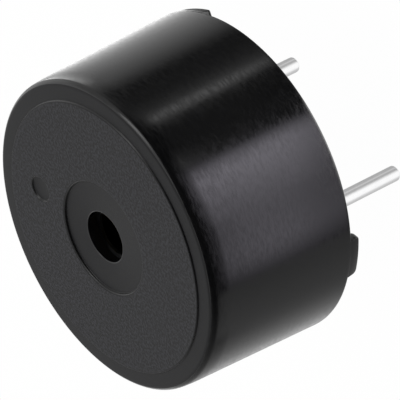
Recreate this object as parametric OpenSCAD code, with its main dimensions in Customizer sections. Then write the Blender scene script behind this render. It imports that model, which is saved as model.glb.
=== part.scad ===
// Round piezo buzzer for a circuit board, driven from outside, with two solder pins.
// Z is the buzzer's axis, and +Z points out of the sound hole. The origin is on the axis in the
// plane of the standoff tabs' undersides, which is the face of the board that it is soldered to.
// The pins stand on the X axis and run down through the board.

/* [Case] */
// Outside diameter at the rear rim
case_d = 21; // [18:0.1:30]
// Height from the rear rim to the ring round the front face
case_h = 10.6; // [9:0.1:16]
// Draft of the side wall, in degrees
draft = 1.8; // [0.5:0.1:2.5]
// Wall beside the inner chamber, at the rear
wall_t = 1.2; // [0.9:0.05:1.6]
// Wall behind the ring round the front face
front_t = 1.1; // [0.8:0.05:1.6]
// Rounding of the front edge
edge_round = 0.54; // [0.2:0.02:0.8]
// Rounding of the rear rim's outer edge
rim_round = 0.15; // [0.05:0.01:0.25]

/* [Front face] */
// Width of the smooth ring round the raised disc
ring_w = 1.26; // [0.9:0.02:2]
// Height of the raised disc over the ring
disc_h = 0.1; // [0.04:0.01:0.3]
// Rounding of the small steps in the face
step_round = 0.04; // [0.02:0.01:0.06]
// Diameter of the shallow recess round the sound hole
recess_d = 7.4; // [6:0.1:9]
// Depth of that recess under the raised disc
recess_depth = 0.18; // [0.1:0.01:0.4]
// Diameter of the sound hole
hole_d = 3.3; // [2:0.1:4.5]
// Width of the thin lip at the inner end of the sound hole
lip_w = 0.15; // [0.05:0.01:0.3]
// Thickness of that lip
lip_t = 0.2; // [0.1:0.01:0.3]
// Diameter of the small dimple beside the recess
dimple_d = 1.7; // [0.8:0.1:2]
// Depth of the dimple
dimple_depth = 0.12; // [0.05:0.01:0.3]
// Distance of the dimple from the axis
dimple_place_r = 6; // [5.6:0.02:7]
// Direction of the dimple, in degrees from the right pin
dimple_az = 15; // [-180:1:180]

/* [Standoff tabs] */
// Height of the tabs, which is the gap between rear rim and board
tab_h = 0.7; // [0.4:0.05:1.5]
// Width of the two narrow tabs
narrow_tab_w = 2.8; // [1.5:0.1:5]
// Width of the wide tab
wide_tab_w = 3.6; // [3:0.1:6]
// Rounding of the tabs' corners
tab_round = 0.25; // [0.05:0.01:0.3]
// How far a tab's outer face leans in towards its foot
tab_lean = 0.12; // [0.05:0.01:0.3]
// Thickness of a tab at its foot
tab_foot_t = 0.35; // [0.25:0.01:0.5]
// Rounding of the outer edge of a tab's foot
foot_round = 0.15; // [0.05:0.01:0.2]
// Direction of the first narrow tab, in degrees from the right pin
first_tab_az = 193.4; // [180:0.2:210]
// Direction of the wide tab
wide_tab_az = 317; // [300:0.2:330]
// Direction of the second narrow tab
second_tab_az = 75; // [60:1:90]

/* [Base plate] */
// Thickness of the plate that closes the rear
plate_t = 1.4; // [1:0.05:2]
// Depth of the plate's rear face inside the rear rim
plate_sink = 0.6; // [0.4:0.05:1]
// Width of the shelf that the plate seats on
shelf_w = 0.3; // [0.2:0.02:0.5]
// Gap round the plate's edge
plate_gap = 0.05; // [0.03:0.01:0.1]
// Diameter of the bosses that hold the pins, inside
boss_d = 3; // [2.4:0.1:4]
// Height of those bosses
boss_h = 0.6; // [0.3:0.05:1.2]
// Width of the epoxy bead on the plate's rear face
bead_w = 0.55; // [0.3:0.05:1]
// Height of the epoxy bead up the rim's inner wall
bead_h = 0.35; // [0.2:0.01:0.38]

/* [Pins] */
// Distance between the two pins
pin_pitch = 10; // [7.5:0.1:12.7]
// Diameter of the round pins
pin_d = 1; // [0.6:0.05:1.2]
// Length of the pins below the board face
pin_l = 8; // [3:0.1:12]
// Rounding of the pins' tips
tip_round = 0.28; // [0.05:0.01:0.29]
// Diameter of the thick root that is moulded into the plate
root_d = 1.6; // [1.4:0.05:2]
// Height of the root over the boss, where the wire is soldered on
root_h = 0.8; // [0.6:0.05:1.2]

/* [Sounder] */
// Depth of the air space between the front wall and the ledge
cavity_h = 1.1; // [0.6:0.05:2]
// Width of the ledge that the brass disc is glued to
ledge_w = 1; // [0.6:0.05:1.5]
// Gap round the edge of the brass disc
edge_gap = 0.2; // [0.1:0.02:0.3]
// Thickness of the adhesive between ledge and disc
glue_t = 0.1; // [0.05:0.01:0.2]
// Overlap of the adhesive onto the disc's rear face, and its height there
glue_lap = 0.2; // [0.1:0.02:0.3]
// Thickness of the brass disc
brass_t = 0.2; // [0.1:0.02:0.4]
// Diameter of the piezo ceramic
ceramic_d = 12; // [9:0.1:13]
// Thickness of the ceramic
ceramic_t = 0.2; // [0.1:0.02:0.4]
// Bare edge of the ceramic round the silver electrode
electrode_margin = 0.5; // [0.3:0.05:1]
// Thickness of the silver electrode
electrode_t = 0.04; // [0.02:0.01:0.08]

/* [Wires and solder] */
// Diameter of the thin tinned wires
lead_d = 0.3; // [0.2:0.02:0.5]
// Sideways slack in each wire
lead_slack = 1.2; // [0:0.1:2]
// Direction of the soldered joint on the brass disc, in degrees from the right pin
brass_joint_az = 205; // [180:1:230]
// Distance of the joint on the electrode from the axis
electrode_joint_r = 3.5; // [2:0.1:4]
// Direction of the joint on the electrode
electrode_joint_az = -50; // [-80:1:-20]
// Diameter of the soldered joints on the disc and the electrode
joint_d = 1.4; // [1:0.1:1.6]
// Height of those joints
joint_h = 0.4; // [0.3:0.05:0.6]
// Thickness of the solder round a pin's root
solder_t = 0.2; // [0.1:0.02:0.3]
// Length of the solder down a pin's root
solder_wrap = 0.5; // [0.2:0.05:0.55]

/* [Hidden] */

// Steps of a full turn, of a rounded edge and of a wire
turn_steps = 128;
arc_steps = 8;
lead_sides = 8;
lead_steps = 24;

// Heights, from the board up
rim_z = tab_h;
ring_z = rim_z + case_h;
disc_z = ring_z + disc_h;
floor_z = disc_z - recess_depth;
inner_z = ring_z - front_t;
lip_z = inner_z + lip_t;
ledge_z = inner_z - cavity_h;
brass_front_z = ledge_z - glue_t;
brass_back_z = brass_front_z - brass_t;
ceramic_back_z = brass_back_z - ceramic_t;
electrode_back_z = ceramic_back_z - electrode_t;
plate_back_z = rim_z + plate_sink;
shelf_z = plate_back_z + plate_t;
boss_top_z = shelf_z + boss_h;
root_top_z = boss_top_z + root_h;

// Radii, from the outside in
function side_r(z) = case_d / 2 - (z - rim_z) * tan(draft);
front_r = side_r(ring_z);
disc_r = front_r - ring_w;
chamber_r = case_d / 2 - wall_t;
seat_r = chamber_r + shelf_w;
plate_r = seat_r - plate_gap;
cavity_r = chamber_r - ledge_w;
brass_r = chamber_r - edge_gap;
ceramic_r = ceramic_d / 2;
electrode_r = ceramic_r - electrode_margin;
recess_r = recess_d / 2;
hole_r = hole_d / 2;
root_r = root_d / 2;
lead_r = lead_d / 2;

// The soldered joint on the brass stands midway between the ceramic and the adhesive
brass_joint_r = (ceramic_r + brass_r - glue_lap) / 2;
foot_r = case_d / 2 - tab_lean;
// The tabs run up into the rim past its rounding
tab_root_z = rim_z + 2 * rim_round;
// A cut runs this far past a face that it opens
past = 0.01;
// A wire leaves its solder straight, for this length
lead_stub = joint_h + lead_d;

// Points of an arc round a centre, from angle a to angle b
function arc(centre, r, a, b) =
    [for (i = [0 : arc_steps]) let (t = a + (b - a) * i / arc_steps) centre + r * [cos(t), sin(t)]];

// Points of a quarter of an ellipse, from its side point to its end point
function quarter(centre, r, h) =
    [for (i = [0 : arc_steps]) let (t = 90 * i / arc_steps) centre + [r * cos(t), h * sin(t)]];

// A point at a distance and direction from the axis, at a height
function polar(r, az, z) = [r * cos(az), r * sin(az), z];

function unit(v) = v / norm(v);

// Point of a cubic curve at t, from its four control points
function cubic(p, t) =
    pow(1 - t, 3) * p[0] + 3 * pow(1 - t, 2) * t * p[1] + 3 * (1 - t) * t * t * p[2] + t * t * t * p[3];

// Route of a wire that leaves its lower end upwards and reaches its upper end from below
function lead_path(low, high) =
    let (up = [0, 0, lead_stub],
         flat = unit([high.x - low.x, high.y - low.y, 0]),
         aside = lead_slack * [-flat.y, flat.x, 0],
         rise = [0, 0, (high.z - low.z) / 3],
         control = [low + up, low + up + rise + aside, high - up - rise + aside, high - up])
    concat([low], [for (i = [0 : lead_steps]) cubic(control, i / lead_steps)], [high]);

// Ring of points round point i of a route; side is a direction that the route never takes
function ring_points(path, i, side) =
    let (ahead = unit(path[min(i + 1, len(path) - 1)] - path[max(i - 1, 0)]),
         u = unit(cross(side, ahead)),
         v = cross(ahead, u))
    [for (k = [0 : lead_sides - 1]) let (t = 360 * k / lead_sides) path[i] + lead_r * (cos(t) * u + sin(t) * v)];

module revolve(points) {
    rotate_extrude($fn = turn_steps) polygon(points);
}

// Round wire along a route
module wire(path) {
    flat = unit([path[len(path) - 1].x - path[0].x, path[len(path) - 1].y - path[0].y, 0]);
    side = [-flat.y, flat.x, 0];
    points = [for (i = [0 : len(path) - 1]) each ring_points(path, i, side)];
    last = len(points) - lead_sides;
    walls = [for (i = [0 : len(path) - 2], k = [0 : lead_sides - 1])
        let (a = i * lead_sides, b = a + lead_sides, n = (k + 1) % lead_sides)
        [a + k, b + k, b + n, a + n]];
    low_end = [for (k = [0 : lead_sides - 1]) k];
    high_end = [for (k = [lead_sides - 1 : -1 : 0]) last + k];
    polyhedron(points, concat(walls, [low_end, high_end]));
}

// Outline of a tab as seen from outside, with its lower corners rounded
module tab_outline(w) {
    inset = w / 2 - tab_round;
    polygon(concat(arc([-inset, tab_round], tab_round, 180, 270), arc([inset, tab_round], tab_round, 270, 360),
                   [[w / 2, tab_root_z], [-w / 2, tab_root_z]]));
}

// One standoff tab: flush with the rim at its root, and thinner at its foot
module tab(w, az) {
    lean = atan(tab_lean / tab_h);
    // A leaning face meets a flat foot's rounding this far inside their corner
    foot_in = foot_round * (1 - sin(lean)) / cos(lean);
    intersection() {
        revolve(concat(
            [[foot_r - tab_foot_t, 0]],
            arc([foot_r - foot_in, foot_round], foot_round, -90, -lean),
            [[case_d / 2, rim_z], [side_r(tab_root_z), tab_root_z], [seat_r, tab_root_z], [seat_r, rim_z]]));
        rotate([0, 0, az]) rotate([90, 0, 90]) linear_extrude(case_d) tab_outline(w);
    }
}

module shell() {
    // A wall with draft meets a flat edge's rounding this far inside its corner
    edge_in = edge_round * (1 - sin(draft)) / cos(draft);
    rim_in = rim_round * (1 + sin(draft)) / cos(draft);
    revolve(concat(
        [[seat_r, rim_z]],
        arc([case_d / 2 - rim_in, rim_z + rim_round], rim_round, -90, draft),
        arc([front_r - edge_in, ring_z - edge_round], edge_round, draft, 90),
        [[disc_r, ring_z]],
        arc([disc_r - step_round, disc_z - step_round], step_round, 0, 90),
        arc([recess_r + step_round, disc_z - step_round], step_round, 90, 180),
        [[recess_r, floor_z]],
        arc([hole_r + step_round, floor_z - step_round], step_round, 90, 180),
        [[hole_r, lip_z], [hole_r - lip_w, lip_z], [hole_r - lip_w, inner_z]],
        [[cavity_r, inner_z], [cavity_r, ledge_z], [chamber_r, ledge_z]],
        [[chamber_r, shelf_z], [seat_r, shelf_z]]));
}

module case() {
    color("#2e2e30") difference() {
        union() {
            shell();
            tab(narrow_tab_w, first_tab_az);
            tab(wide_tab_w, wide_tab_az);
            tab(narrow_tab_w, second_tab_az);
        }
        translate(polar(dimple_place_r, dimple_az, disc_z - dimple_depth))
            cylinder(d = dimple_d, h = dimple_depth + past, $fn = 48);
    }
}

module base_plate() {
    color("#262628") difference() {
        union() {
            translate([0, 0, plate_back_z]) cylinder(r = plate_r, h = plate_t, $fn = turn_steps);
            for (side = [-1, 1]) translate([side * pin_pitch / 2, 0, plate_back_z])
                cylinder(d = boss_d, h = plate_t + boss_h, $fn = 64);
        }
        for (side = [-1, 1]) translate([side * pin_pitch / 2, 0, plate_back_z - past])
            cylinder(d = root_d, h = plate_t + boss_h + 2 * past, $fn = 64);
    }
}

module sealing_bead() {
    color("#1d1c1a") revolve(concat(
        [[seat_r, plate_back_z]],
        [for (p = quarter([0, 0], bead_w, bead_h)) [seat_r - bead_w + p.x, plate_back_z - bead_h + p.y]]));
}

// side is -1 for the left pin and 1 for the right one
module pin(side) {
    color("#c9c9cb") translate([side * pin_pitch / 2, 0, 0]) revolve(concat(
        [[0, -pin_l]],
        arc([pin_d / 2 - tip_round, tip_round - pin_l], tip_round, -90, 0),
        [[pin_d / 2, plate_back_z], [root_r, plate_back_z], [root_r, root_top_z], [0, root_top_z]]));
}

// Solder round the top of a pin's root, with the wire coming out of its middle
module pin_joint(side) {
    color("#b4b5b6") translate([side * pin_pitch / 2, 0, 0]) revolve(concat(
        [[root_r, root_top_z - solder_wrap]],
        quarter([lead_r, root_top_z], root_r + solder_t - lead_r, joint_h),
        [[lead_r, root_top_z], [root_r, root_top_z]]));
}

// Solder under a face that looks towards the rear, with the wire coming out of its middle
module face_joint(r, az, z) {
    color("#b4b5b6") translate(polar(r, az, z)) mirror([0, 0, 1]) revolve(concat(
        [[lead_r, 0]],
        quarter([lead_r, 0], joint_d / 2 - lead_r, joint_h)));
}

module adhesive_ring() {
    color("#d9d7cf") revolve([
        [cavity_r, ledge_z], [chamber_r, ledge_z], [chamber_r, brass_back_z - glue_lap],
        [brass_r - glue_lap, brass_back_z], [brass_r, brass_back_z],
        [brass_r, brass_front_z], [cavity_r, brass_front_z]]);
}

module diaphragm() {
    color("#c8a64f") translate([0, 0, brass_back_z]) cylinder(r = brass_r, h = brass_t, $fn = turn_steps);
}

module piezo_ceramic() {
    color("#d8cdb0") translate([0, 0, ceramic_back_z]) cylinder(r = ceramic_r, h = ceramic_t, $fn = turn_steps);
}

module silver_electrode() {
    color("#cfd0d1") translate([0, 0, electrode_back_z])
        cylinder(r = electrode_r, h = electrode_t, $fn = turn_steps);
}

module lead_left() {
    color("#c4c2bd") wire(lead_path([-pin_pitch / 2, 0, root_top_z],
        polar(brass_joint_r, brass_joint_az, brass_back_z)));
}

module lead_right() {
    color("#c4c2bd") wire(lead_path([pin_pitch / 2, 0, root_top_z],
        polar(electrode_joint_r, electrode_joint_az, electrode_back_z)));
}

case();
base_plate();
sealing_bead();
pin(-1);  // pin_left
pin(1);  // pin_right
adhesive_ring();
diaphragm();
piezo_ceramic();
silver_electrode();
lead_left();
lead_right();
pin_joint(-1);  // solder_pin_left
pin_joint(1);  // solder_pin_right
face_joint(brass_joint_r, brass_joint_az, brass_back_z);  // solder_plate
face_joint(electrode_joint_r, electrode_joint_az, electrode_back_z);  // solder_electrode
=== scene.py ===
# %% [markdown]
# This script dresses a round piezo buzzer: a cup of black moulded plastic with a thin brass disc
# inside, closed by a base plate that holds two solder pins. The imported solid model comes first, as a
# fixed frame. Each piece that shows is then made again as a smooth mesh in the same place, or keeps
# its solid and gets its finish. At the end comes the small studio that its gloss mirrors.

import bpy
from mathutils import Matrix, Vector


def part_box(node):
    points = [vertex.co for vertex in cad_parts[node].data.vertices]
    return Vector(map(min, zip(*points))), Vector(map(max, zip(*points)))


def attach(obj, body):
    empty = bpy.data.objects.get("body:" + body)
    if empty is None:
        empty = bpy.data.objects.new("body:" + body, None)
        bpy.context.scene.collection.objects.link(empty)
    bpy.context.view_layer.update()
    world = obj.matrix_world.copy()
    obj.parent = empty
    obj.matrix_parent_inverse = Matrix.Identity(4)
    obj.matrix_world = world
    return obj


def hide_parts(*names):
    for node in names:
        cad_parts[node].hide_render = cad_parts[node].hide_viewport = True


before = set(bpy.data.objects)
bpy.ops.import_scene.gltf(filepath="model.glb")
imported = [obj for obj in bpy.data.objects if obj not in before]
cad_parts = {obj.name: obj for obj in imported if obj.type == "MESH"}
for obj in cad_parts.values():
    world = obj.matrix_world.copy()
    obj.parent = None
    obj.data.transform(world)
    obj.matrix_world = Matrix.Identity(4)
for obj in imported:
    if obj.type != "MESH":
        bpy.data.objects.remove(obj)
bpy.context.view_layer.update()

# %% Modules and units
import math

import bmesh
import bpy
from mathutils import Matrix, Vector

MM = 0.001
print("one millimetre is", MM, "scene units")

# %% [markdown]
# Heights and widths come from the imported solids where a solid's box tells them, so the meshes stay in
# place if the part is packed again. A box doesn't tell a wall, a ledge or a rounding, so those few
# sizes are written here, in millimetres, as the part's own source has them. Radii are measured from
# the buzzer's axis, and heights from the circuit board that the standoff tabs rest on.

# %% Sizes
def low_high(node):
    """Lowest and highest corner of a solid, in millimetres."""
    return tuple(Vector(round(v / MM, 3) for v in corner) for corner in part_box(node))


case_high = low_high("case")[1]
plate_low = low_high("base_plate")[0]
pin_low, pin_high = low_high("pin_right")
bead_low = low_high("sealing_bead")[0]

CASE_R = 10.5
CASE_H = 10.6
DRAFT = math.radians(1.8)
WALL_T = 1.2
FRONT_T = 1.1
RIM_ROUND = 0.15
RING_W = 1.26
DISC_H = 0.1
RECESS_R = 3.7
RECESS_DEPTH = 0.18
HOLE_R = 1.65
LIP_W = 0.15
LIP_T = 0.2
CAVITY_H = 1.1
LEDGE_W = 1.0
SHELF_W = 0.3
PLATE_T = 1.4

disc_z = case_high.z
ring_z = disc_z - DISC_H
rim_z = ring_z - CASE_H
floor_z = disc_z - RECESS_DEPTH
inner_z = ring_z - FRONT_T
ledge_z = inner_z - CAVITY_H
plate_z = plate_low.z
shelf_z = plate_z + PLATE_T
chamber_r = CASE_R - WALL_T
seat_r = chamber_r + SHELF_W


def side_r(z):
    """Radius of the side wall at a height. The wall narrows towards the front, by its draft."""
    return CASE_R - (z - rim_z) * math.tan(DRAFT)


front_r = side_r(ring_z)
disc_r = front_r - RING_W
print("front face at", disc_z, "mm, rear rim at", round(rim_z, 2), "mm, disc radius",
      round(disc_r, 2), "mm")

# %% [markdown]
# The camera stands where the photographer's stood. The pictured circles of the case, its face, its
# recess and its pins fix that place, because a circle's outline tells how far it is tilted. A long
# lens from 315 mm away gives the photograph's almost parallel edges. The buzzer stays on its own axes
# with its pins down, and the camera is rolled instead, so in the picture it lies on its side.

# %% Camera
PHOTO_PX = 400
FACE_PX = (103.41, 237.14)
FOCAL_PX = 5247.1
CAMERA_AWAY = 315
CAMERA_AZ = math.radians(-118.4)
CAMERA_EL = math.radians(30.976)
CAMERA_ROLL = math.radians(243.533)
SENSOR_MM = 36


def polar(radius, azimuth, z=0.0):
    """Point at a distance and direction from the buzzer's axis."""
    return Vector((radius * math.cos(azimuth), radius * math.sin(azimuth), z))


back = polar(math.cos(CAMERA_EL), CAMERA_AZ, math.sin(CAMERA_EL))
level = polar(1, CAMERA_AZ + math.pi / 2)
upward = back.cross(level)
right = math.cos(CAMERA_ROLL) * level + math.sin(CAMERA_ROLL) * upward
up = -math.sin(CAMERA_ROLL) * level + math.cos(CAMERA_ROLL) * upward
middle_px = (PHOTO_PX - 1) / 2
aside = (FACE_PX[0] - middle_px) / FOCAL_PX * CAMERA_AWAY
above = (FACE_PX[1] - middle_px) / FOCAL_PX * CAMERA_AWAY
stand = Vector((0, 0, ring_z)) + CAMERA_AWAY * back - aside * right + above * up

camera = bpy.data.objects.new("camera", bpy.data.cameras.new("camera"))
bpy.context.scene.collection.objects.link(camera)
turn = Matrix((right, up, back)).transposed().to_4x4()
camera.matrix_world = Matrix.Translation(stand * MM) @ turn
camera.data.sensor_width = SENSOR_MM
camera.data.lens = FOCAL_PX / PHOTO_PX * SENSOR_MM
camera.data.clip_start = 0.01
camera.data.clip_end = 20
bpy.context.scene.camera = camera
print("camera with a", round(camera.data.lens), "mm lens at", [round(v) for v in stand], "mm")

# %% [markdown]
# Almost every piece of a buzzer is round, because its moulds and dies are turned on a lathe. So one
# helper draws half of a cross-section as a line of corners. It rounds the corners that have a radius
# with a vertex bevel, which on a bare line gives a true arc, and turns the line about an axis. All
# this is done in millimetres, because Blender merges points that are too close in metres.

# %% Turned shapes
TURN_STEPS = 192
MERGE_MM = 1e-4


def turned(bm, corners, rounds, steps=TURN_STEPS, at=(0, 0), closed=True):
    """Turns a section about an upright axis.

    corners holds (radius, height) pairs, and rounds says {corner: (radius, segments)}. The rings are
    laid one by one, because bmesh's spin stores its faces in another order each run, and the tabs'
    join to the cup comes out differently with it.
    """
    verts = [bm.verts.new((at[0] + r, at[1], z)) for r, z in corners]
    pairs = list(zip(verts, verts[1:]))
    if closed:
        pairs.append((verts[-1], verts[0]))
    for pair in pairs:
        bm.edges.new(pair)
    old = set(bm.verts) - set(verts)
    for index, (radius, segments) in rounds.items():
        corner = verts[index]
        ways = [edge.other_vert(corner).co - corner.co for edge in corner.link_edges]
        reach = radius / math.tan(ways[0].angle(ways[1]) / 2)
        bmesh.ops.bevel(bm, geom=[corner], offset=reach, offset_type="OFFSET", segments=segments,
                        profile=0.5, affect="VERTICES", material=-1)
    line = [v for v in bm.verts if v not in old]
    rings = {}
    for v in line:
        rings[v] = [v] * steps
        arm = v.co.x - at[0]
        if arm > MERGE_MM:
            spots = [Vector((*at, v.co.z)) + polar(arm, 2 * math.pi * i / steps) for i in range(1, steps)]
            rings[v] = [v] + [bm.verts.new(spot) for spot in spots]
    for edge in dict.fromkeys(edge for v in line for edge in v.link_edges):
        one, other = (rings[v] for v in edge.verts)
        for i in range(steps):
            quad = dict.fromkeys((one[i - 1], one[i], other[i], other[i - 1]))
            if len(quad) > 2:
                bm.faces.new(quad)
    bmesh.ops.remove_doubles(bm, verts=bm.verts, dist=MERGE_MM)


SHARP_ANGLE = math.radians(32)


def finish_piece(bm, name, slot, materials, *nodes):
    """Turns a bmesh in millimetres into a shown piece in metres, which stands for the given solids."""
    bmesh.ops.recalc_face_normals(bm, faces=bm.faces)
    for face in bm.faces:
        face.smooth = True
    for edge in bm.edges:
        edge.smooth = edge.calc_face_angle(0) < SHARP_ANGLE
    open_edges = sum(not edge.is_manifold for edge in bm.edges)
    bmesh.ops.scale(bm, vec=(MM, MM, MM), verts=bm.verts)
    mesh = bpy.data.meshes.new(name)
    bm.to_mesh(mesh)
    bm.free()
    piece = bpy.data.objects.new(name, mesh)
    bpy.context.scene.collection.objects.link(piece)
    for material in materials:
        mesh.materials.append(material)
    weights = piece.modifiers.new("flat_faces_lead", "WEIGHTED_NORMAL")
    weights.mode = "FACE_AREA"
    weights.weight = 100
    weights.keep_sharp = True
    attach(piece, "root")
    if nodes:
        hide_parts(*nodes)
    print(name, "has", len(mesh.polygons), "faces and", open_edges, "open edges")


# %% [markdown]
# A material is a few nodes. One helper adds a node, sets its own settings and fills its sockets: a
# socket gets a number or colour, or is linked when it is given another node's output. The four kinds
# of node that most finishes share have a short helper each. Colours are written as the hex codes of a
# paint chart and turned to the linear light that the shader counts in.

# %% Material helpers
def colour(code):
    """Linear RGBA of an sRGB hex code such as #2e2e30."""
    values = [int(code[i:i + 2], 16) / 255 for i in (1, 3, 5)]
    linear = [v / 12.92 if v <= 0.04045 else ((v + 0.055) / 1.055) ** 2.4 for v in values]
    return (*linear, 1.0)


def add(tree, kind, sockets=None, **settings):
    """Adds one node, with its settings, and sets or links its sockets by name or number."""
    node = tree.nodes.new(kind)
    for name, value in settings.items():
        setattr(node, name, value)
    for key, value in (sockets or {}).items():
        if isinstance(value, bpy.types.NodeSocket):
            tree.links.new(value, node.inputs[key])
        else:
            node.inputs[key].default_value = value
    return node


def new_material(name):
    """An empty material, and its tree of nodes."""
    material = bpy.data.materials.new(name)
    material.use_nodes = True
    material.node_tree.nodes.clear()
    return material, material.node_tree


def in_mm(tree, stretch=(1, 1, 1)):
    """Object coordinates in millimetres, scaled on each axis. A scale below 1 draws a pattern out."""
    place = add(tree, "ShaderNodeTexCoord").outputs["Object"]
    scale = [s / MM for s in stretch]
    return add(tree, "ShaderNodeMapping", {"Vector": place, "Scale": scale}).outputs[0]


def noise(tree, place, per_mm, detail=2.0, roughness=0.5):
    """A soft noise with so many swells a millimetre. Most of it lies between 0.3 and 0.7."""
    return add(tree, "ShaderNodeTexNoise", {"Vector": place, "Scale": per_mm, "Detail": detail,
                                            "Roughness": roughness}).outputs["Fac"]


def spread(tree, value, low, high, start=0.3, end=0.7):
    """A value that runs from low to high while the given one runs from start to end."""
    return add(tree, "ShaderNodeMapRange", {"Value": value, "From Min": start, "From Max": end,
                                            "To Min": low, "To Max": high}).outputs[0]


def mixed(tree, share, first, second):
    """A colour between those of two hex codes."""
    return add(tree, "ShaderNodeMix", {"Factor": share, "A": colour(first), "B": colour(second)},
               data_type="RGBA").outputs["Result"]


def bumped(tree, height, rise_mm, strength=0.5, **more):
    """The normal of a skin that rises by rise_mm while height runs from 0 to 1."""
    sockets = {"Strength": strength, "Distance": rise_mm * MM, "Height": height, **more}
    return add(tree, "ShaderNodeBump", sockets).outputs[0]


def shade(tree, sockets):
    """The shader of a material, joined to its output."""
    shader = add(tree, "ShaderNodeBsdfPrincipled", sockets)
    add(tree, "ShaderNodeOutputMaterial", {"Surface": shader.outputs[0]})


print("a dark grey of #2e2e30 is", round(colour("#2e2e30")[0], 4), "in linear light")

# %% [markdown]
# The case is moulded in black PBT, a tough polyester that keeps its shape while the pins are
# soldered. The mould's face is spark-eroded where the raised disc is, which leaves fine matt grain
# one or two tenths of a millimetre across. It could be modelled as real bumps, but they are only some
# thousandths of a millimetre high, so a noise in the bump does it at no cost in faces.

# %% Spark-textured black plastic
SPARK_GRAIN_MM = 0.17


def make_pbt_spark_textured():
    """Black PBT moulded on spark-eroded steel: matt grey grain, with painted glints on its raised specks
    and painted shade in its pits.
    """
    material, tree = new_material("pbt_spark_textured")
    grain = noise(tree, in_mm(tree), 1 / SPARK_GRAIN_MM, roughness=0.6)
    # The colour follows the grain's height: painted glints on the raised specks, painted shade in the
    # pits.
    grain_glint_and_shade = spread(tree, grain, 0, 1, 0.4, 0.62)
    shade(tree, {"Base Color": mixed(tree, grain_glint_and_shade, "#060607", "#323236"), "IOR": 1.5,
                 "Roughness": spread(tree, grain, 0.5, 0.68), "Specular IOR Level": 0.25,
                 "Normal": bumped(tree, grain, 0.03, 1.0)})
    return material


pbt_spark_textured = make_pbt_spark_textured()
print(pbt_spark_textured.name, "with grain of", SPARK_GRAIN_MM, "mm")

# %% [markdown]
# The ring round the disc, the recess round the sound hole and the upper half of the front edge come
# from steel that was only blasted with fine beads. It is as matt as the disc but smoother to the eye.

# %% Fine matt black plastic
BLAST_GRAIN_MM = 0.07


def make_pbt_bead_blasted():
    """Black PBT moulded on bead-blasted steel: smooth, matt and a little darker than the disc."""
    material, tree = new_material("pbt_bead_blasted")
    grain = noise(tree, in_mm(tree), 1 / BLAST_GRAIN_MM, 1.0)
    shade(tree, {"Base Color": colour("#131315"), "Roughness": spread(tree, grain, 0.52, 0.6), "IOR": 1.5,
                 "Specular IOR Level": 0.24, "Normal": bumped(tree, grain, 0.004, 0.6)})
    return material


pbt_bead_blasted = make_pbt_bead_blasted()
print(pbt_bead_blasted.name, "with grain of", BLAST_GRAIN_MM, "mm")

# %% [markdown]
# The small slopes round the disc, the recess and the dimple are corners of the steel that no texture
# reaches, so they come out smoother than the faces beside them. A slope that mirrors the dark side of
# the room shows as a thin dark line, and one that mirrors the light side almost vanishes. Their colour
# is also painted darker than the faces beside them, as painted shade that deepens that line.

# %% Burnished corners, painted darker as shade
def make_shaded_burnished_pbt():
    """Black PBT from the bare corners of the steel: a satin smoother than the faces, painted darker as
    shade.
    """
    material, tree = new_material("pbt_burnished_shaded")
    rub = noise(tree, in_mm(tree), 5.0)
    shade(tree, {"Base Color": colour("#0a0a0b"), "Roughness": spread(tree, rub, 0.26, 0.38), "IOR": 1.5})
    return material


pbt_burnished_shaded = make_shaded_burnished_pbt()
print(pbt_burnished_shaded.name, "for the small slopes")

# %% [markdown]
# The side wall slides out of a mould that was polished on a lathe, so it is glossy, with faint lines
# that run round it and a slight waviness from the plastic's flow. The lines are a noise squeezed
# along the axis, and they are drawn coarser than the real ones, which are too fine for the picture.

# %% Polished black plastic
TURNING_LINE_MM = 0.12
LINE_LENGTHS = 4
FLOW_WAVE_MM = 2.5


def make_pbt_polished():
    """Black PBT moulded on lathe-polished steel: deep gloss, faintly lined round the wall."""
    material, tree = new_material("pbt_polished")
    drawn_out = (1 / LINE_LENGTHS, 1 / LINE_LENGTHS, 1)
    lines = noise(tree, in_mm(tree, stretch=drawn_out), 1 / TURNING_LINE_MM)
    waves = noise(tree, in_mm(tree), 1 / FLOW_WAVE_MM)
    fine = bumped(tree, lines, 0.0006)
    shade(tree, {"Base Color": mixed(tree, lines, "#050506", "#0c0c0d"), "IOR": 1.5,
                 "Roughness": spread(tree, lines, 0.13, 0.25, 0.35, 0.65),
                 "Normal": bumped(tree, waves, 0.004, Normal=fine)})
    return material


pbt_polished = make_pbt_polished()
print(pbt_polished.name, "with lines of", TURNING_LINE_MM, "mm")

# %% [markdown]
# The case is one moulded cup. Its section is drawn once round: up the outside with the draft that
# lets it leave the mould, over the rounded front edge, across the ring and the tiny step of the
# raised disc, then from the recess through the sound hole and back down the stepped inside. The flat
# disc itself is left open, because the dimple has to be let into it before it is filled. The ring
# falls outwards by a few hundredths of a millimetre, which makes its far side lighter. The front
# edge is a soft shoulder and then a rounding, a few hundredths of a millimetre inside the solid's
# plain arc: a polished mould is stoned there by hand, and the gloss shows it as a black band.

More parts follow.
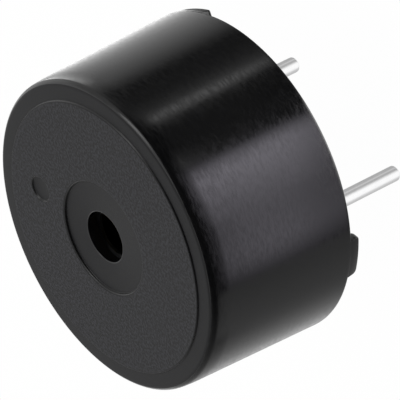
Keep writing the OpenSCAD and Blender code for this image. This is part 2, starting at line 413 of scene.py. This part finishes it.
# %% Case, as turned
STEP_ROUND = 0.06
RECESS_SLOPE = 0.06
RECESS_ROUND = 0.15
DISC_SLOPE = 0.075
DISC_ROUND = 0.1
RING_FALL = 0.04
SHOULDER_H = 0.9
SHOULDER_TILT = math.radians(7)
SHOULDER_ROUND = 12
EDGE_ROUND = 0.42
shoulder_z = ring_z - SHOULDER_H
tab_root_z = rim_z + 2 * RIM_ROUND
ring_outer_z = ring_z - RING_FALL
edge_r = side_r(shoulder_z) - (ring_outer_z - shoulder_z) * math.tan(SHOULDER_TILT)
case_section = [
    (disc_r - DISC_SLOPE - DISC_ROUND, disc_z),
    (disc_r - DISC_SLOPE, disc_z),
    (disc_r, ring_z),
    (edge_r, ring_outer_z),
    (side_r(shoulder_z), shoulder_z),
    (side_r(tab_root_z), tab_root_z),
    (CASE_R, rim_z),
    (seat_r, rim_z),
    (seat_r, shelf_z),
    (chamber_r, shelf_z),
    (chamber_r, ledge_z),
    (chamber_r - LEDGE_W, ledge_z),
    (chamber_r - LEDGE_W, inner_z),
    (HOLE_R - LIP_W, inner_z),
    (HOLE_R - LIP_W, inner_z + LIP_T),
    (HOLE_R, inner_z + LIP_T),
    (HOLE_R, floor_z),
    (RECESS_R - RECESS_SLOPE, floor_z),
    (RECESS_R, disc_z),
    (RECESS_R + 2 * RECESS_ROUND, disc_z),
]
case_rounds = {
    1: (DISC_ROUND, 6),
    3: (EDGE_ROUND, 12),
    4: (SHOULDER_ROUND, 8),
    6: (RIM_ROUND, 6),
    16: (STEP_ROUND, 4),
    17: (STEP_ROUND, 4),
    18: (RECESS_ROUND, 5),
}
case = bmesh.new()
turned(case, case_section, case_rounds, closed=False)
print("case turned:", len(case.faces), "faces")

# %% [markdown]
# The dimple beside the recess is a shallow round dent that a pin in the mould leaves. It is turned
# about its own axis, with both corners softly rounded, and stands in the open disc. One triangle
# fill between the three rings then closes the disc as a truly flat face.

# %% Dimple and disc
DIMPLE_R = 0.85
DIMPLE_DEPTH = 0.12
DIMPLE_SLOPE = 0.08
DIMPLE_ROUND = 0.08
DIMPLE_OUT = 6
DIMPLE_AZ = math.radians(15)
DIMPLE_STEPS = 64
dimple_z = disc_z - DIMPLE_DEPTH
dimple_section = [
    (DIMPLE_R + DIMPLE_ROUND, disc_z),
    (DIMPLE_R, disc_z),
    (DIMPLE_R - DIMPLE_SLOPE, dimple_z),
    (0, dimple_z),
]
dimple_rounds = {1: (DIMPLE_ROUND, 4), 2: (DIMPLE_ROUND, 4)}
turned(case, dimple_section, dimple_rounds, DIMPLE_STEPS, polar(DIMPLE_OUT, DIMPLE_AZ).xy, closed=False)
bmesh.ops.triangle_fill(case, edges=[edge for edge in case.edges if edge.is_boundary],
                        use_beauty=True, use_dissolve=False, normal=(0, 0, 1))
print("case with its dimple:", len(case.faces), "faces")

# %% [markdown]
# Three standoff tabs hold the rim a little off the board, so that flux and cleaner can drain. Each is
# a short stretch of ring between two parallel planes, thinner at its foot and with two rounded lower
# corners. So a ring is turned and cut off at the planes, its foot is pushed up at the corners, and
# its ends are filled and lightly bevelled. Its root runs up inside the rim, a hair under the wall's
# skin, so that no two faces coincide when cup and tabs are joined.

# %% Standoff tabs
# Direction of each tab's middle in degrees, and its width.
TABS = {193.4: 2.8, 317: 3.6, 75: 2.8}
TAB_ROUND = 0.25
TAB_LEAN = 0.12
TAB_FOOT_T = 0.35
FOOT_ROUND = 0.15
TAB_EDGE_ROUND = 0.05
TAB_CORNER_STEPS = 6
UNDER_SKIN = 0.01
foot_r = CASE_R - TAB_LEAN
tab_section = [
    (foot_r - TAB_FOOT_T, 0),
    (foot_r, 0),
    (CASE_R - UNDER_SKIN, rim_z),
    (side_r(tab_root_z) - UNDER_SKIN, tab_root_z),
    (seat_r + UNDER_SKIN, tab_root_z),
    (seat_r + UNDER_SKIN, rim_z),
]


def corner_rise(across, width):
    """How far a tab's lower edge rises at a distance from its middle, round its corners."""
    past = max(0.0, abs(across) - (width / 2 - TAB_ROUND))
    return TAB_ROUND - math.sqrt(max(0.0, TAB_ROUND ** 2 - past ** 2))


def make_tab(azimuth, width):
    """One tab, as a closed solid."""
    out, along = polar(1, azimuth), polar(1, azimuth + math.pi / 2)
    tab = bmesh.new()
    turned(tab, tab_section, {1: (FOOT_ROUND, 5)})
    inset = width / 2 - TAB_ROUND
    turns = [math.radians(90 * i / TAB_CORNER_STEPS) for i in range(TAB_CORNER_STEPS)]
    for cut in [side * (inset + TAB_ROUND * math.sin(t)) for t in turns for side in (-1, 1)]:
        bmesh.ops.bisect_plane(tab, geom=tab.verts[:] + tab.edges[:] + tab.faces[:], dist=MERGE_MM,
                               plane_co=along * cut, plane_no=along)
    for point, away in ((Vector(), -out), (along * width / 2, along), (-along * width / 2, -along)):
        bmesh.ops.bisect_plane(tab, geom=tab.verts[:] + tab.edges[:] + tab.faces[:], dist=MERGE_MM,
                               plane_co=point, plane_no=away, clear_outer=True)
    for v in tab.verts:
        across, radius = v.co.dot(along), v.co.xy.length
        if v.co.z < rim_z:
            lift = corner_rise(across, width) / rim_z
            rim_r = CASE_R if radius > foot_r - TAB_FOOT_T + MERGE_MM else seat_r
            radius += (rim_r - radius) * lift
            z = v.co.z + (rim_z - v.co.z) * lift
            v.co = along * across + out * math.sqrt(radius ** 2 - across ** 2) + Vector((0, 0, z))
    open_edges = [edge for edge in tab.edges if edge.is_boundary]
    ends = bmesh.ops.holes_fill(tab, edges=open_edges, sides=0)["faces"]
    rims = list(dict.fromkeys(edge for face in ends for edge in face.edges))
    bmesh.ops.bevel(tab, geom=rims, offset=TAB_EDGE_ROUND, offset_type="OFFSET", segments=2, profile=0.5,
                    affect="EDGES", material=-1, clamp_overlap=True)
    return tab


def as_object(bm, name):
    """A bmesh, still in millimetres, as an object that a modifier can use."""
    bmesh.ops.recalc_face_normals(bm, faces=bm.faces)
    mesh = bpy.data.meshes.new(name)
    bm.to_mesh(mesh)
    bm.free()
    thing = bpy.data.objects.new(name, mesh)
    bpy.context.scene.collection.objects.link(thing)
    return thing


def joined(solid, tools):
    """The union of a solid and the tools, as one bmesh."""
    base = as_object(solid, "base")
    helpers = [as_object(tool, "helper") for tool in tools]
    for helper in helpers:
        union = base.modifiers.new("grow", "BOOLEAN")
        union.operation = "UNION"
        union.solver = "EXACT"
        union.object = helper
    mesh = bpy.data.meshes.new_from_object(base.evaluated_get(bpy.context.evaluated_depsgraph_get()))
    result = bmesh.new()
    result.from_mesh(mesh)
    for thing in [base] + helpers:
        bpy.data.objects.remove(thing)
    return result


case = joined(case, [make_tab(math.radians(degrees), width) for degrees, width in TABS.items()])
print("case with", len(TABS), "tabs:", len(case.faces), "faces")

# %% [markdown]
# One shell, four finishes: the faces take the mould's surfaces by where they lie. The matt finish
# stops halfway round the front edge, where the mould's two halves met, and from there on the polished
# side begins. Where a small step of the disc, the recess or the dimple is steeper than 32 degrees, it
# is burnished, and its colour is painted darker as shade.

# %% Finishes on the case
SPARK, MATT, POLISHED, BURNISHED_SHADED = range(4)
SHADED_SLOPE_TILT = math.radians(32)
edge_middle = edge_r - EDGE_ROUND * (1 - math.sin(math.radians(45)))


def finish_at(face):
    """The mould surface that a face was pressed against."""
    centre = face.calc_center_median()
    radius = centre.xy.length
    lowered = disc_z - centre.z
    if radius > edge_middle or lowered > RECESS_DEPTH + MERGE_MM:
        return POLISHED
    # Steep small slopes take the burnished finish, whose darker colour is painted shade.
    if radius < disc_r + MERGE_MM and abs(face.normal.z) < math.cos(SHADED_SLOPE_TILT):
        return BURNISHED_SHADED
    return SPARK if lowered < MERGE_MM else MATT


for face in case.faces:
    face.normal_update()
    face.material_index = finish_at(face)
case_finishes = [pbt_spark_textured, pbt_bead_blasted, pbt_polished, pbt_burnished_shaded]
finish_piece(case, "case_shell", "case_plastic", case_finishes, "case")

# %% [markdown]
# The pins are drawn brass wire plated with tin, so that solder flows on them. They are bright, with
# faint lines along their length from the die that the wire was pulled through. The noise is squeezed
# across the pin and stretched along it, which draws those lines.

# %% Tin-plated wire
DRAWING_LINE_MM = 0.12


def make_tin_plated_wire():
    """Bright tin over drawn brass wire: white metal, softly mirrored, lined along the pin."""
    material, tree = new_material("tin_plated_wire")
    lines = noise(tree, in_mm(tree, stretch=(1, 1, 0.04)), 1 / DRAWING_LINE_MM)
    spots = noise(tree, in_mm(tree), 2.2, 3.0)
    shade(tree, {"Base Color": mixed(tree, spots, "#f0f0f1", "#f8f8f8"), "Metallic": 1.0,
                 "Roughness": spread(tree, spots, 0.14, 0.2), "Normal": bumped(tree, lines, 0.0015)})
    return material


tin_plated_wire = make_tin_plated_wire()
print(tin_plated_wire.name, "with lines of", DRAWING_LINE_MM, "mm")

# %% [markdown]
# Each pin is a turned shape: a rounded tip, a straight shank, and a thicker root that the base
# plate is moulded round. Both are made by the same few lines, one on each side of the axis.

# %% Pins
PIN_R = 0.5
PIN_TIP_ROUND = 0.28
PIN_STEPS = 48
root_r = (pin_high.x - pin_low.x) / 2
pin_x = (pin_high.x + pin_low.x) / 2
pin_section = [
    (0, pin_low.z),
    (PIN_R, pin_low.z),
    (PIN_R, plate_z),
    (root_r, plate_z),
    (root_r, pin_high.z),
    (0, pin_high.z),
]
for side, name in ((-1, "pin_left"), (1, "pin_right")):
    pin = bmesh.new()
    turned(pin, pin_section, {1: (PIN_TIP_ROUND, 8)}, PIN_STEPS, (side * pin_x, 0), closed=False)
    finish_piece(pin, name + "_wire", "tin_plate", [tin_plated_wire], name)

# %% [markdown]
# The base plate closes the rear. It is moulded in the same plastic but came out of a plain mould, so
# it is an even satin black. Its solid already has the right shape and flat faces, so it stays and
# only gets a finish.

# %% Satin black plastic
def make_pbt_satin():
    """Black PBT from a plain ground mould: even satin, with a faint grain."""
    material, tree = new_material("pbt_satin")
    grain = noise(tree, in_mm(tree), 6.0, 3.0)
    shade(tree, {"Base Color": colour("#141415"), "Roughness": spread(tree, grain, 0.38, 0.5), "IOR": 1.5,
                 "Normal": bumped(tree, grain, 0.006)})
    return material


def dress(node, material):
    """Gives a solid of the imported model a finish, in the place of its plain colour."""
    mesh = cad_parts[node].data
    mesh.materials.clear()
    mesh.materials.append(material)
    print(node, "is dressed in", material.name)


dress("base_plate", make_pbt_satin())

# %% [markdown]
# A bead of epoxy seals the plate to the rim. It is poured in liquid and creeps up both walls before
# it sets, which leaves a smooth hollow fillet with a glossy skin. The quarter ellipse of the section
# is that hollow, and a slow wave round the bead keeps it from looking machined.

# %% Epoxy bead
BEAD_W = 0.55
BEAD_ARC = 8
BEAD_WAVE = 0.12


def make_potting_epoxy():
    """Dark potting epoxy that set on its own: glossy, with soft ripples and a brown-black body."""
    material, tree = new_material("potting_epoxy")
    ripple = noise(tree, in_mm(tree), 0.9, 1.0)
    shade(tree, {"Base Color": mixed(tree, ripple, "#0d0c0b", "#1a1714"), "Roughness": 0.12, "IOR": 1.55,
                 "Normal": bumped(tree, ripple, 0.05, 0.6)})
    return material


bead_h = plate_z - bead_low.z
bead_section = [(seat_r, plate_z)]
for i in range(BEAD_ARC + 1):
    t = math.radians(90 * i / BEAD_ARC)
    bead_section.append((seat_r - BEAD_W + BEAD_W * math.cos(t), plate_z - bead_h + bead_h * math.sin(t)))
bead = bmesh.new()
turned(bead, bead_section, {}, closed=True)
for v in bead.verts:
    inward = seat_r - v.co.xy.length
    azimuth = math.atan2(v.co.y, v.co.x)
    swell = 1 - BEAD_WAVE * (0.5 + 0.3 * math.sin(3 * azimuth + 1) + 0.2 * math.sin(7 * azimuth))
    v.co.xy = v.co.xy.normalized() * (seat_r - inward * swell)
finish_piece(bead, "epoxy_bead", "epoxy", [make_potting_epoxy()], "sealing_bead")

# %% [markdown]
# The sounder itself sits inside the case, out of sight but for a glint through the sound hole: a
# rolled brass disc, a fired piezo ceramic on its rear, a silver layer printed on the ceramic, and a
# ring of silicone that lets the disc flex. These solids keep their shape and get true finishes.

# %% Finishes of the sounder
def make_rolled_brass():
    """Rolled brass sheet: warm yellow metal, satin, lined one way by the rollers."""
    material, tree = new_material("rolled_brass")
    lines = noise(tree, in_mm(tree, stretch=(0.05, 1, 1)), 5.0, 3.0)
    shade(tree, {"Base Color": mixed(tree, lines, "#c9a455", "#dcbc74"), "Metallic": 1.0,
                 "Roughness": 0.32, "Normal": bumped(tree, lines, 0.003, 0.4)})
    return material


def make_fired_ceramic():
    """Fired and lapped piezo ceramic: matt buff, with the faint mottle of sintered grains."""
    material, tree = new_material("fired_ceramic")
    mottle = noise(tree, in_mm(tree), 3.0, 4.0)
    shade(tree, {"Base Color": mixed(tree, mottle, "#c4b58f", "#d8cba8"), "Roughness": 0.7, "IOR": 1.6,
                 "Normal": bumped(tree, mottle, 0.004, 0.4)})
    return material


def make_fired_silver():
    """Silver paste, screen-printed and fired: pale matt metal with a slightly grainy skin."""
    material, tree = new_material("fired_silver")
    grain = noise(tree, in_mm(tree), 7.0, 3.0)
    shade(tree, {"Base Color": mixed(tree, grain, "#cfcfcd", "#e6e6e4"), "Metallic": 1.0,
                 "Roughness": 0.5, "Normal": bumped(tree, grain, 0.004, 0.6)})
    return material


def make_cured_silicone():
    """White silicone adhesive, squeezed from a nozzle and cured: satin, soft and a little uneven."""
    material, tree = new_material("cured_silicone")
    swell = noise(tree, in_mm(tree), 1.4)
    shade(tree, {"Base Color": mixed(tree, swell, "#cfccc2", "#dedcd4"), "Roughness": 0.42, "IOR": 1.41,
                 "Normal": bumped(tree, swell, 0.03)})
    return material


dress("diaphragm", make_rolled_brass())
dress("piezo_ceramic", make_fired_ceramic())
dress("silver_electrode", make_fired_silver())
dress("adhesive_ring", make_cured_silicone())

# %% [markdown]
# Two tinned copper wires run from the pins' roots to the brass and to the silver, each held by a drop
# of solder at both ends. Solder freezes with a frosty skin that is rougher than the wire's tin.

# %% Wires and solder
def make_tinned_copper():
    """Tinned copper wire: bright white metal with a hint of warmth, lined along the wire."""
    material, tree = new_material("tinned_copper")
    lines = noise(tree, in_mm(tree, stretch=(1, 1, 0.2)), 7.0)
    shade(tree, {"Base Color": mixed(tree, lines, "#c9c6c0", "#e2e0db"), "Metallic": 1.0,
                 "Roughness": 0.28})
    return material


def make_frozen_solder():
    """Solder that froze in air: satin grey-white metal with a frosted grain."""
    material, tree = new_material("frozen_solder")
    frost = noise(tree, in_mm(tree), 9.0, 4.0)
    shade(tree, {"Base Color": colour("#c6c7c8"), "Metallic": 1.0,
                 "Roughness": spread(tree, frost, 0.24, 0.44), "Normal": bumped(tree, frost, 0.006)})
    return material


tinned_copper = make_tinned_copper()
frozen_solder = make_frozen_solder()
for node in ("lead_left", "lead_right"):
    dress(node, tinned_copper)
for node in ("solder_pin_left", "solder_pin_right", "solder_plate", "solder_electrode"):
    dress(node, frozen_solder)

# %% [markdown]
# The studio: a white floor just under the pins' tips. For the camera and for mirrors it is plain
# white paper, and a small share of it is left as real shaded paper, so that a soft shadow stays. Its
# underside lets the camera through, so that the buzzer can also be looked at from below.

# %% Floor
FLOOR_HALF_MM = 3000
FLOOR_GAP = 0.05
SHADOW_SHARE = 0.02
ground_z = pin_low.z - FLOOR_GAP


def seen_directly(tree, ray):
    """One for the camera's own, mirrored and refracted rays, and nought for scattered light."""
    seen = ray["Is Camera Ray"]
    for other in ("Is Glossy Ray", "Is Transmission Ray"):
        seen = add(tree, "ShaderNodeMath", {0: seen, 1: ray[other]}, operation="MAXIMUM").outputs[0]
    return seen


def make_white_paper():
    """White backdrop paper: pure white to the camera, with a trace of its own shading."""
    material, tree = new_material("white_paper")
    ray = add(tree, "ShaderNodeLightPath").outputs
    share = add(tree, "ShaderNodeMath", {0: seen_directly(tree, ray), 1: 1 - SHADOW_SHARE},
                operation="MULTIPLY")
    paper = add(tree, "ShaderNodeBsdfDiffuse", {"Color": colour("#f4f4f4")})
    white = add(tree, "ShaderNodeEmission", {"Color": colour("#ffffff"), "Strength": 1.0})
    top = add(tree, "ShaderNodeMixShader", {0: share.outputs[0], 1: paper.outputs[0],
                                            2: white.outputs[0]})
    under = add(tree, "ShaderNodeMath", {0: add(tree, "ShaderNodeNewGeometry").outputs["Backfacing"],
                                         1: ray["Is Camera Ray"]}, operation="MULTIPLY")
    clear = add(tree, "ShaderNodeBsdfTransparent")
    both = add(tree, "ShaderNodeMixShader", {0: under.outputs[0], 1: top.outputs[0], 2: clear.outputs[0]})
    add(tree, "ShaderNodeOutputMaterial", {"Surface": both.outputs[0]})
    return material


def stage_piece(bm, name, material):
    """Turns a bmesh in millimetres into a piece of the studio."""
    bmesh.ops.scale(bm, vec=(MM, MM, MM), verts=bm.verts)
    mesh = bpy.data.meshes.new(name)
    bm.to_mesh(mesh)
    bm.free()
    mesh.materials.append(material)
    piece = bpy.data.objects.new(name, mesh)
    bpy.context.scene.collection.objects.link(piece)
    return piece


ground = bmesh.new()
bmesh.ops.create_grid(ground, x_segments=1, y_segments=1, size=FLOOR_HALF_MM)
bmesh.ops.translate(ground, verts=ground.verts, vec=(0, 0, ground_z))
stage_piece(ground, "floor", make_white_paper())
print("floor at", round(ground_z, 2), "mm")

# %% [markdown]
# Black gloss has no look of its own: it shows what it mirrors. From the camera, each line down the
# side wall mirrors one line on the floor beside the buzzer, so the photographer's cards can be laid
# out there: black flags for the dark stretches, a long softbox for the broad grey band, and a thin
# white strip for the narrow streak. A small card extends the softbox's far corner, for the tip that
# its reflection has at the front edge. The cards show in reflections alone. A direction is given in
# degrees from the camera's own, and the stretch of wall at x degrees mirrors what lies at 2x.

# %% Cards on the floor
CARD_NEAR = 12
BAND_FAR = 48
CARD_FAR = 130
CORNER_NEAR = 31
CORNER_FAR = 43
CARD_LIFT = 0.05
CARD_STEP = 2


def make_card(name, tint="#ffffff"):
    """A studio card that glows as bright as its own attribute says."""
    material, tree = new_material(name)
    glow = add(tree, "ShaderNodeAttribute", attribute_name="glow").outputs["Fac"]
    light = add(tree, "ShaderNodeEmission", {"Color": colour(tint), "Strength": glow})
    add(tree, "ShaderNodeOutputMaterial", {"Surface": light.outputs[0]})
    return material


def between(stops, x):
    """The value at x on straight lines between (place, value) stops."""
    for (a, low), (b, high) in zip(stops, stops[1:]):
        if x <= b:
            return low + (high - low) * max(0.0, x - a) / (b - a)
    return stops[-1][1]


def lay_card(name, stops, place, fade=((0, 1.0),), rows=12, tint="#ffffff"):
    """A card that only reflections show.

    Its glow goes by stops over its directions, times fade over its share from near edge to far.
    """
    first, last = stops[0][0], stops[-1][0]
    steps = max(1, round((last - first) / CARD_STEP))
    card = bmesh.new()
    bmesh.ops.create_grid(card, x_segments=steps, y_segments=rows, size=0.5)
    glow = card.verts.layers.float.new("glow")
    for v in card.verts:
        direction = first + (last - first) * (v.co.x + 0.5)
        share = v.co.y + 0.5
        v[glow] = between(stops, direction) * between(fade, share)
        v.co = place(math.radians(direction), share)
    piece = stage_piece(card, name, make_card(name, tint))
    piece.visible_camera = False
    piece.visible_diffuse = False
    piece.visible_shadow = False
    piece.visible_transmission = False
    piece.visible_volume_scatter = False
    print(name, "covers", first, "to", last, "degrees")


def floor_place(near, far, lift=CARD_LIFT):
    """Places on the floor that the side wall mirrors, from near to far millimetres off the wall."""
    def place(direction, share):
        foot = polar(CASE_R, CAMERA_AZ + direction, ground_z + lift)
        return foot + polar(near + (far - near) * share, CAMERA_AZ + 2 * direction)
    return place


def by_distance(stops, near, far):
    """Stops in millimetres off the wall, turned to shares of a card from near to far."""
    return [((distance - near) / (far - near), value) for distance, value in stops]


near_floor = floor_place(CARD_NEAR, BAND_FAR)
far_floor = floor_place(CARD_NEAR, CARD_FAR)
left_fade = by_distance([(12, 1.0), (31, 1.0), (34, 0.68), (36, 0.6), (48, 0.42)], CARD_NEAR, BAND_FAR)
low_fade = by_distance([(12, 0.45), (18, 0.6), (21, 0.8), (23, 1.0), (31, 1.0), (34.5, 0.8), (36, 0.5),
                        (38, 0.15), (48, 0.05)], CARD_NEAR, BAND_FAR)
band_fade = by_distance([(12, 0.4), (17, 0.55), (20, 1.0), (32, 1.0), (35.5, 0.9), (38, 0.6), (41, 0.2),
                         (48, 0.05)], CARD_NEAR, BAND_FAR)
white_fade = by_distance([(12, 1.0), (29, 1.0), (34, 0.66), (37, 0.8), (39, 2.2), (46, 2.2), (50, 1.0),
                          (74, 0.6), (130, 0.5)], CARD_NEAR, CARD_FAR)
side_fade = by_distance([(12, 1.0), (29, 1.0), (33, 0.7), (36, 0.5), (45, 0.45), (130, 0.4)],
                        CARD_NEAR, CARD_FAR)
lay_card("left_flag", [(-90, 0.75), (-78, 0.85), (-66, 0.6), (-58, 0.42), (-54, 0.42)], near_floor,
         left_fade, rows=24)
lay_card("left_shade", [(-54, 0.4), (-46, 0.44), (-36, 0.42)], near_floor)
lay_card("softbox_low", [(-36, 0.4), (-32, 1.1), (-27, 1.8), (-16, 1.8), (-12, 2.0)], near_floor,
         low_fade, rows=24, tint="#f7f2ff")
lay_card("softbox", [(-12, 2.0), (-8, 2.35), (-2, 3.2), (3, 3.9), (5.5, 2.4), (8, 0.2)], near_floor,
         band_fade, rows=24, tint="#f7f2ff")
lay_card("right_flag", [(8, 0.1), (24, 0.1), (27, 0.2)], near_floor, band_fade)
lay_card("softbox_corner", [(8, 1.1), (10, 0.9), (12, 0.5), (16, 0.12)],
         floor_place(CORNER_NEAR, CORNER_FAR, 2 * CARD_LIFT),
         by_distance([(31, 0.25), (35, 0.55), (37, 1.0), (40, 1.0), (43, 0.15)], CORNER_NEAR, CORNER_FAR))
lay_card("light_strip", [(27, 0.9), (29, 1.75), (31, 0.9)], near_floor, band_fade)
lay_card("far_flag", [(31, 0.4), (36, 0.13), (46, 0.06), (52, 0.5), (56, 0.7)], near_floor)
lay_card("white_card", [(56, 0.7), (62, 0.9), (67, 0.97), (72, 1.15), (77, 1.4)], far_floor,
         white_fade, rows=60)
lay_card("side_card", [(77, 1.4), (83, 1.8), (90, 1.9)], far_floor, side_fade, rows=40)
lay_card("rim_flag", [(-90, 0.8), (-78, 0.8), (-60, 0.4), (-30, 0.3), (-24, 1.6), (-8, 4.0), (10, 4.0),
                      (14, 0.3), (50, 0.1), (60, 0.22), (90, 0.25)], floor_place(0, CARD_NEAR))

# %% [markdown]
# Each pin is a bright little mirror, so it gets a tent of its own: a card stood round it, white where
# the pin faces the camera's lower side and grey for the rest, with a lighter seam in the grey.

# %% Tents round the pins
TENT_R = 3.2
TENT_TOP_GAP = 1
TENT = [(-90, 0.52), (-56, 0.58), (-43, 0.72), (-35, 0.96), (-26, 1.06), (-4, 1.06), (4, 0.88),
        (11, 0.62), (17, 0.44), (26, 0.44), (31, 0.6), (37, 0.6), (42, 0.46), (60, 0.43), (90, 0.5)]


def tent_place(side):
    """Places on the tent round a pin: out along the floor, then up to the base plate."""
    def place(direction, share):
        foot = Vector((side * pin_x, 0, ground_z + CARD_LIFT)) + polar(PIN_R, CAMERA_AZ + direction)
        reach = TENT_R * min(1, 2 * share)
        rise = (plate_z - TENT_TOP_GAP - ground_z) * max(0, 2 * share - 1)
        return foot + polar(reach, CAMERA_AZ + 2 * direction, rise)
    return place


for side, name in ((-1, "left_pin_tent"), (1, "right_pin_tent")):
    lay_card(name, TENT, tent_place(side), rows=2)

# %% [markdown]
# Past the softbox, on the camera's side, the studio is dark: black cloth hangs there from floor to
# ceiling. The rounded front edge mirrors it as a thin black line, which draws the edge crisply. The
# cloth ends in a slope at the upper right, where the room's light comes over it, dimmed by a grey
# curtain.

# %% Black cloth on the camera's side
DOME_R = 130
CLOTH_TOP = [(-150, 20), (-125, 45), (-110, 55), (-70, 70), (-20, 85), (10, 75), (30, 60), (50, 32),
             (70, 16), (104, -10)]
CURTAIN_TOP = [(46, 32), (62, 35), (70, 38), (78, 44), (90, 53), (104, 53), (116, 40)]
FLOOR_AT = math.degrees(math.asin(ground_z / DOME_R))


def dome_place(bottom, top):
    """Places on cloth that bends over the buzzer, between two edges given as stops of elevation."""
    def place(direction, share):
        low, high = [between(edge, math.degrees(direction)) for edge in (bottom, top)]
        elevation = math.radians(low + (high - low) * share)
        return polar(DOME_R * math.cos(elevation), CAMERA_AZ + direction, DOME_R * math.sin(elevation))
    return place


lay_card("floor_cloth", [(-78, 0.5), (-66, 0.3), (-55, 0.18), (-45, 0.08), (-35, 0.02), (20, 0.02),
                         (32, 0.12), (40, 0.27), (50, 0.5), (56, 0.7)], floor_place(BAND_FAR, CARD_FAR))
lay_card("black_cloth", [(-150, 0.6), (-138, 0.42), (-118, 0.25), (-95, 0.12), (-70, 0.02), (50, 0.02),
                         (66, 0.15), (82, 0.27), (104, 0.5)], dome_place([(0, FLOOR_AT)], CLOTH_TOP),
         rows=16)
lay_card("grey_curtain", [(46, 0.5), (58, 0.55), (104, 0.66), (116, 0.85)],
         dome_place(CLOTH_TOP, CURTAIN_TOP))

# %% [markdown]
# White walls all round light the buzzer evenly, at a level at which a grey looks as grey as it is,
# and one soft lamp high on the upper left draws the thin bright line along the front edge.

# %% Room light
WALL_LEVEL = 0.85
world = bpy.data.worlds.new("white_room")
bpy.context.scene.world = world
world.use_nodes = True
room = world.node_tree
room.nodes.clear()
seen = seen_directly(room, add(room, "ShaderNodeLightPath").outputs)
level_of = add(room, "ShaderNodeMapRange", {"Value": seen, "To Min": WALL_LEVEL, "To Max": 1.0})
walls = add(room, "ShaderNodeBackground", {"Color": colour("#ffffff"), "Strength": level_of.outputs[0]})
add(room, "ShaderNodeOutputWorld", {"Surface": walls.outputs[0]})

LAMP_MM = 500
LAMP_SIZE_MM = 240
LAMP_WATTS = 0.26
LAMP_AZ = CAMERA_AZ + math.radians(71)
LAMP_EL = math.radians(47)
lamp = bpy.data.objects.new("soft_lamp", bpy.data.lights.new("soft_lamp", "AREA"))
bpy.context.scene.collection.objects.link(lamp)
lamp.data.shape = "DISK"
lamp.data.size = LAMP_SIZE_MM * MM
lamp.data.energy = LAMP_WATTS
lamp_way = polar(math.cos(LAMP_EL), LAMP_AZ, math.sin(LAMP_EL))
facing = lamp_way.to_track_quat("Z", "Y").to_matrix().to_4x4()
lamp.matrix_world = Matrix.Translation(lamp_way * LAMP_MM * MM) @ facing
print("walls at", WALL_LEVEL, "and a lamp of", LAMP_WATTS, "watts")

# %% Colour as written
bpy.context.scene.view_settings.view_transform = "Standard"
